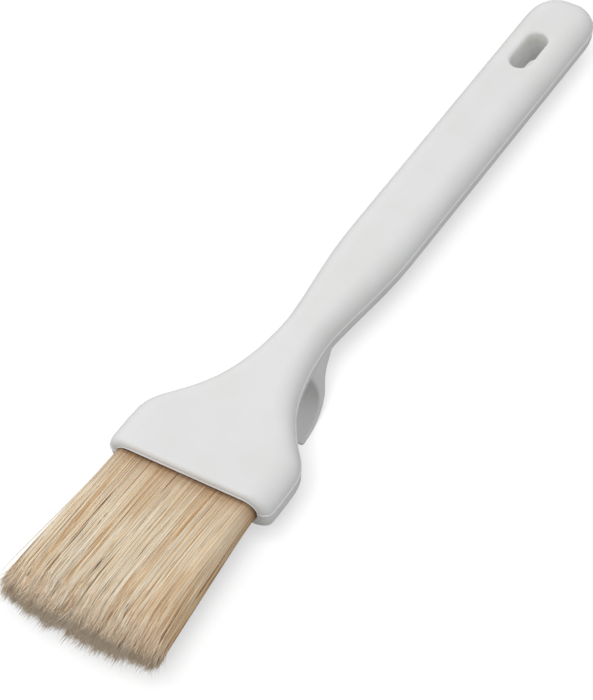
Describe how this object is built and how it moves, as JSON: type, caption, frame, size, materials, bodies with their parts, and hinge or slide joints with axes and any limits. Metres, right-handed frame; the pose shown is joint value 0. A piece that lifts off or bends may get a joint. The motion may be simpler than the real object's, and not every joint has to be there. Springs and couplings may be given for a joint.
{
  "type": "pastry brush",
  "caption": "Flat pastry brush with a one-piece moulded plastic handle, wide socketed head, rest hook under the neck, hanging slot and a flat natural-bristle pack.",
  "frame": {"origin": "centre of the bottom of the bounding box, in the plane of symmetry of the handle and level with the lowest point of the hook", "axes": "+Y along the handle towards the hanging slot, +Z out of the top face, +X to the right seen from the bristles' end with the top face up; the parting plane of the moulding is level at z = 0.02519 and the mouth of the head is at y = -0.0765"},
  "size_m": [0.0536, 0.267, 0.0311],
  "materials": {
    "handle_plastic": "white semi-gloss moulded polypropylene",
    "resin": "cured amber epoxy, hidden in the head",
    "spacer": "plain pressed board strip between the two bristle banks",
    "bristle_root": "natural boar bristle, packed and shaded at the mouth",
    "bristle": "natural blond boar bristle with lighter flagged tips"
  },
  "bodies": {
    "handle": {"handle_moulding": "handle_plastic", "resin_set": "resin", "spacer_strip": "spacer", "root_bank_upper": "bristle_root", "root_bank_lower": "bristle_root"},
    "bristles": {"lock_upper_1": "bristle", "lock_upper_2": "bristle", "lock_upper_3": "bristle", "lock_upper_4": "bristle", "lock_upper_5": "bristle", "lock_upper_6": "bristle", "lock_upper_7": "bristle", "lock_upper_8": "bristle", "lock_lower_1": "bristle", "lock_lower_2": "bristle", "lock_lower_3": "bristle", "lock_lower_4": "bristle", "lock_lower_5": "bristle", "lock_lower_6": "bristle", "lock_lower_7": "bristle", "lock_lower_8": "bristle"}
  },
  "joints": [
    {"name": "bristle_bend", "type": "hinge", "parent": "handle", "child": "bristles", "pos_m": [0, -0.0807, 0.02519], "axis": [1, 0, 0], "range_deg": [-35, 35], "stiffness_Nm_per_rad": 0.1}
  ]
}
